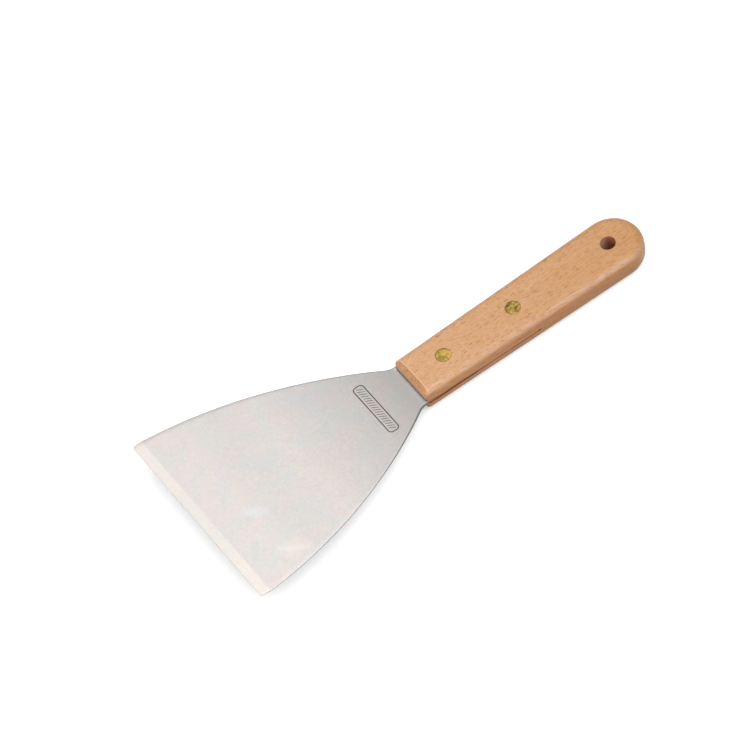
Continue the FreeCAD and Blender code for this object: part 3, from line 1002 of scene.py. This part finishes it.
def etched_mark(n, x, y):
    """Plain etched frame with a row of slanted hatch strokes: 1 on the strokes, 0 elsewhere."""
    across = n.math("SUBTRACT", x, FRONT_X - MARK_AHEAD)
    along = n.math("SUBTRACT", y, MARK_Y)
    dx = n.math("SUBTRACT", n.absolute(across), MARK_HALF[0] - MARK_CORNER)
    dy = n.math("SUBTRACT", n.absolute(along), MARK_HALF[1] - MARK_CORNER)
    outside = n.length(n.math("MAXIMUM", dx, 0.0), n.math("MAXIMUM", dy, 0.0))
    inside = n.math("MINIMUM", n.math("MAXIMUM", dx, dy), 0.0)
    distance = n.math("SUBTRACT", n.math("ADD", outside, inside), MARK_CORNER)
    frame_line = n.ramp(n.absolute(distance), MARK_LINE * 0.7, MARK_LINE * 1.3, 1.0, 0.0)
    slant = n.math("ADD", along, n.times(across, STROKE_SLANT))
    cycle = n.math("FRACT", n.math("DIVIDE", slant, STROKE_PITCH))
    stroke = n.ramp(n.absolute(n.math("SUBTRACT", cycle, 0.5)), 0.09, 0.15, 1.0, 0.0)
    within = n.ramp(distance, -1.15, -1.0, 1.0, 0.0)
    return n.math("MAXIMUM", frame_line, n.times(stroke, within, 0.95))


def smudge(n, x, y, position, centre, reach, turn):
    """Soft wiped patch on the blade: 1 in its middle, torn by fine noise toward its rim."""
    dx = n.math("SUBTRACT", x, centre[0])
    dy = n.math("SUBTRACT", y, centre[1])
    c, k = math.cos(turn), math.sin(turn)
    u = n.math("DIVIDE", n.math("ADD", n.times(dx, c), n.times(dy, k)), reach[0])
    v = n.math("DIVIDE", n.math("SUBTRACT", n.times(dy, c), n.times(dx, k)), reach[1])
    ragged = n.times(n.math("SUBTRACT", n.noise(position, 0.5, 4, 0.7), 0.5), 1.6)
    return n.ramp(n.math("ADD", n.length(u, v), ragged), 0.2, 1.0, 1.0, 0.0)


def bevel_colour(n, y, waver, cloud):
    """Ground bevel, partly painted highlight: straw and grey, rosier in patches, duller mid-edge."""
    ground = n.mix(n.ramp(cloud, 0.35, 0.65), BEVEL_STRAW, BEVEL_GREY)
    ground = n.mix(n.ramp(waver, 0.35, 0.65, 0.0, 0.7), ground, BEVEL_ROSY)
    return n.mix(n.ramp(n.absolute(y), 8.0, 34.0, 0.45, 0.0), ground, BEVEL_MIDDLE)


def steel(name):
    """Satin ground steel, darker toward the neck, with faint stains, wipe marks and painted light and
    shade.
    """
    n = Nodes(name)
    position, x, y, _ = n.coordinates()
    _, _, nz = n.normal_parts()
    cloud_a = n.noise(position, 0.10, 3, 0.6)
    cloud_b = n.noise(n.place(position, shift=(37, 11, 5)), 0.14, 3, 0.6)
    cloud_c = n.noise(n.place(position, shift=(5, 61, 9)), 0.06, 3, 0.6)
    mottle = n.noise(position, 0.9, 4, 0.65)
    lines = n.noise(n.place(position, scale=(6.0, 0.12, 1.0)), 1.0, 4, 0.7)
    # The grey pales from neck to edge; by the wood, painted light lifts it against the handle's shade.
    ahead = n.math("SUBTRACT", FRONT_X, x)
    near = n.ramp(ahead, 0.0, 50.0, 0.262, 0.442, smooth=False)
    far = n.ramp(ahead, 20.0, 115.0, 0.339, 0.590, smooth=False)
    tone = n.times(n.math("MINIMUM", near, far), n.ramp(ahead, 0.0, 3.0, 1.35, 1.0))
    tone = n.times(tone, n.ramp(ahead, 75.0, 98.0, 1.0, 1.055))
    tint = n.mix(n.ramp(cloud_a, 0.38, 0.62), TINT_ROSY, TINT_GREEN)
    tint = n.mix(n.ramp(cloud_b, 0.45, 0.75, 0.0, 0.8), tint, TINT_STRAW)
    tint = n.mix(n.ramp(cloud_c, 0.4, 0.7, 0.0, 0.5), tint, TINT_COOL)
    drift = n.mix(n.ramp(ahead, 45.0, 90.0), TINT_NECK, TINT_EDGE)
    body = n.mix(1.0, n.mix(1.0, tint, tone, "MULTIPLY"), drift, "MULTIPLY")
    body = n.mix(n.ramp(mottle, 0.35, 0.7, 0.0, 0.10), body, STEEL_SPECKS)
    # Painted contact shadow: a thin dark line on the steel where it meets the wood.
    body = n.mix(n.ramp(ahead, 0.1, 0.6, 0.5, 0.0), body, STEEL_CONTACT_SHADOW)
    body = n.mix(n.times(smudge(n, x, y, position, *WIPED_HALO), 0.3), body, STEEL_HALO)
    body = n.mix(n.times(smudge(n, x, y, position, *WIPED_STREAK), 0.34), body, STEEL_STREAK)
    body = n.mix(n.times(smudge(n, x, y, position, *WIPED_PATCH), 0.32), body, STEEL_PATCH)
    # The ground bevel is brighter, partly a painted highlight; its boundary wanders a little.
    waver = n.noise(n.place(position, scale=(0.2, 0.35, 0.2)), 1.0, 3, 0.7)
    from_line = n.math("ADD", n.math("SUBTRACT", x, EDGE_X + BEVEL_LENGTH), n.times(waver, 0.8))
    band = n.ramp(from_line, 0.1, 0.7, 1.0, 0.0, smooth=False)
    body = n.mix(n.times(band, 0.8), body, bevel_colour(n, y, waver, cloud_b))
    # Painted shade on the narrow side faces of the blade.
    rim = n.ramp(n.absolute(nz), 0.25, 0.7, 1.0, 0.0)
    body = n.mix(n.times(rim, 0.75), body, STEEL_RIM_SHADE)
    # The mark is etched into the upper side only.
    mark = n.times(etched_mark(n, x, y), n.ramp(nz, 0.5, 0.8))
    body = n.mix(n.times(mark, 0.92), body, STEEL_ETCHED)
    rough = n.math("ADD", n.ramp(mottle, 0.25, 0.75, 0.30, 0.42), n.times(mark, 0.25))
    height = n.math("ADD", n.times(lines, 0.6), n.times(mottle, 0.4))
    n.set(Base_Color=body, Metallic=1.0, Roughness=rough, Normal=n.bump(height, 0.06, 0.05))
    return n.material


def brass(name, place):
    """Dull peened brass, mottled with tarnish, with painted shade along the rim on the far side."""
    n = Nodes(name)
    position, x, y, _ = n.coordinates()
    centre_x, head_radius, _ = rivet_facts(place)
    radius = n.length(n.math("SUBTRACT", x, centre_x), y)
    tarnished = n.place(position, shift=TARNISH[place])
    patches = n.noise(tarnished, TARNISH_SCALE[place], 3, 0.55)
    spots = n.noise(tarnished, 0.95, 3, 0.6)
    grit = n.noise(position, 2.6, 4, 0.7)
    body = n.mix(n.ramp(patches, 0.38, 0.62), BRASS_DULL[place], BRASS_BRIGHT[place])
    body = n.mix(n.ramp(spots, 0.5, 0.68, 0.0, 0.6), body, BRASS_SPOTS)
    body = n.mix(n.ramp(grit, 0.45, 0.75, 0.0, 0.4), body, BRASS_GRIT)
    # Painted shade: a dark crescent along the rim on the far side.
    at_rim = n.ramp(radius, head_radius - 1.0, head_radius - 0.2)
    body = n.mix(n.times(at_rim, n.ramp(y, -0.5, 1.5, 0.05, 0.6)), body, BRASS_RIM_SHADE)
    rough = n.ramp(patches, 0.3, 0.7, 0.5, 0.34)
    n.set(Base_Color=body, Metallic=1.0, Roughness=rough, Normal=n.bump(grit, 0.35, 0.08))
    return n.material


def floor_material():
    """Plain pale floor; to the camera it fades into the backdrop far from the tool."""
    n = Nodes("studio_floor")
    position, _, _, _ = n.coordinates()
    seen = n.mix(n.noise(position, 0.02, 2, 0.5), (0.69, 0.69, 0.69), (0.71, 0.71, 0.71))
    near = n.ramp(n.reach(position), *FLOOR_FADE, 1.0, 0.0)
    seen = n.mix(near, (0.0, 0.0, 0.0), seen)
    glow = n.ramp(near, 0.0, 1.0, BACKDROP, 0.4, smooth=False)
    to_camera = n.add("ShaderNodeLightPath").outputs["Is Camera Ray"]
    n.set(Base_Color=n.mix(to_camera, (0.6, 0.6, 0.6), seen), Roughness=0.9)
    n.set(Emission_Color=(1.0, 1.0, 1.0), Emission_Strength=n.times(to_camera, glow))
    n.set(Specular_IOR_Level=0.1)
    return n.material


# ---------------------------------------------------------------- put the object together
def dress_handle(handle):
    """Varnished beech outside, raw darkened wood in the kerf and in the bores."""
    varnished, sawn, bored = range(3)
    handle.data.materials.clear()
    handle.data.materials.append(beech_outside("beech_varnished"))
    handle.data.materials.append(beech_sawn("beech_sawn"))
    handle.data.materials.append(beech_bored("beech_bored"))
    bores = [(0.0, HOLE_RADIUS)]
    for place in RIVETS:
        x, head_radius, _ = rivet_facts(place)
        bores.append((x, head_radius + RIVET_GAP))
    for face in handle.data.polygons:
        middle = face.center / MM
        in_kerf = abs(middle.z) < KERF_HALF + 0.02 and middle.x < FRONT_X + KERF_DEPTH + 3
        wall = abs(middle.y) < HALF_FRONT - 0.2 and middle.x > FRONT_X + 0.2
        near_bore = any(math.hypot(middle.x - x, middle.y) < radius + 0.02 for x, radius in bores)
        if in_kerf and (wall or abs(face.normal.z) > 0.7):
            face.material_index = sawn
        elif near_bore and abs(middle.z) < HALF_THICKNESS - 0.05:
            face.material_index = bored
        else:
            face.material_index = varnished


handle = make_handle()
dress_handle(handle)
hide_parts("handle")

blade = make_blade()
blade.data.materials.append(steel("ground_steel"))
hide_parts("blade")

rivets = build_rivets()
for piece in rivets:
    place = piece.name.split("_")[1]
    piece.data.materials.append(brass(f"brass_{piece.name}", place))

for piece in [handle, blade] + rivets:
    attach(piece, "root")

# ---------------------------------------------------------------- floor, light and camera
LOW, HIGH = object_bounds()
CENTRE = (LOW + HIGH) / 2
FLOOR_HALF = 4.0
# To the camera the floor fades into the pale backdrop over these distances in millimetres.
FLOOR_FADE = (700.0, 1700.0)
BACKDROP = 0.95


def make_floor():
    """Flat square under the tool, FLOOR_HALF metres to each side."""
    bm = bmesh.new()
    bmesh.ops.create_grid(bm, x_segments=8, y_segments=8, size=FLOOR_HALF)
    floor = mesh_object("studio_floor", bm)
    floor.location = (CENTRE.x, CENTRE.y, LOW.z)
    floor.data.materials.append(floor_material())


def softbox(name, offset, size, radiance):
    """Rectangular light turned to the tool, with the given radiance; distances in metres."""
    data = bpy.data.lights.new(name, "AREA")
    data.shape = "RECTANGLE"
    data.size, data.size_y = size
    data.energy = radiance * math.pi * size[0] * size[1]
    light = bpy.data.objects.new(name, data)
    light.visible_camera = False
    light.location = CENTRE + Vector(offset)
    light.rotation_euler = (CENTRE - light.location).to_track_quat("-Z", "Y").to_euler()
    bpy.context.scene.collection.objects.link(light)


def make_camera(azimuth, elevation, roll, aim_offset, distance, lens):
    """Camera turned by angles in degrees; aim_offset and lens in millimetres, distance in metres."""
    a, e, r = (math.radians(v) for v in (azimuth, elevation, roll))
    back = Vector((math.sin(a) * math.cos(e), -math.cos(a) * math.cos(e), math.sin(e)))
    right = Vector((math.cos(a), math.sin(a), 0))
    up = back.cross(right)
    up_rolled = up * math.cos(r) + right * math.sin(r)
    right_rolled = right * math.cos(r) - up * math.sin(r)
    data = bpy.data.cameras.new("camera")
    data.type = "PERSP"
    data.sensor_width = 36.0
    data.lens = lens
    camera = bpy.data.objects.new("camera", data)
    aim = Vector((CENTRE.x, CENTRE.y, 0)) + Vector(aim_offset) * MM
    turn = Matrix((right_rolled, up_rolled, back)).transposed().to_4x4()
    camera.matrix_world = Matrix.Translation(aim + back * distance) @ turn
    data.clip_start, data.clip_end = 0.01, 20.0
    bpy.context.scene.collection.objects.link(camera)
    bpy.context.scene.camera = camera


def make_world(radiance, seen):
    """Even studio surround; the camera itself sees a paler backdrop."""
    world = bpy.data.worlds.new("studio")
    world.use_nodes = True
    tree = world.node_tree
    path = tree.nodes.new("ShaderNodeLightPath")
    strength = tree.nodes.new("ShaderNodeMapRange")
    strength.inputs["To Min"].default_value = radiance
    strength.inputs["To Max"].default_value = seen
    background = tree.nodes["Background"]
    background.inputs["Color"].default_value = (1.0, 1.0, 1.0, 1.0)
    tree.links.new(path.outputs["Is Camera Ray"], strength.inputs["Value"])
    tree.links.new(strength.outputs["Result"], background.inputs["Strength"])
    bpy.context.scene.world = world


make_floor()
make_world(radiance=0.35, seen=BACKDROP)
softbox("overhead", offset=(0.0, 0.0, 1.2), size=(2.5, 2.5), radiance=1.65)
softbox("strip", offset=(0.42, -0.66, 0.94), size=(0.6, 0.9), radiance=1.9)
softbox("fill", offset=(0.30, -1.10, 0.72), size=(1.0, 0.7), radiance=0.9)
softbox("front", offset=(-1.1, 0.1, 0.62), size=(0.8, 0.8), radiance=0.9)
make_camera(
    azimuth=-22.63,
    elevation=55.16,
    roll=15.26,
    aim_offset=(-13.9, 14.85, 0.0),
    distance=3.0,
    lens=333.5616,
)
bpy.context.scene.view_settings.view_transform = "Standard"
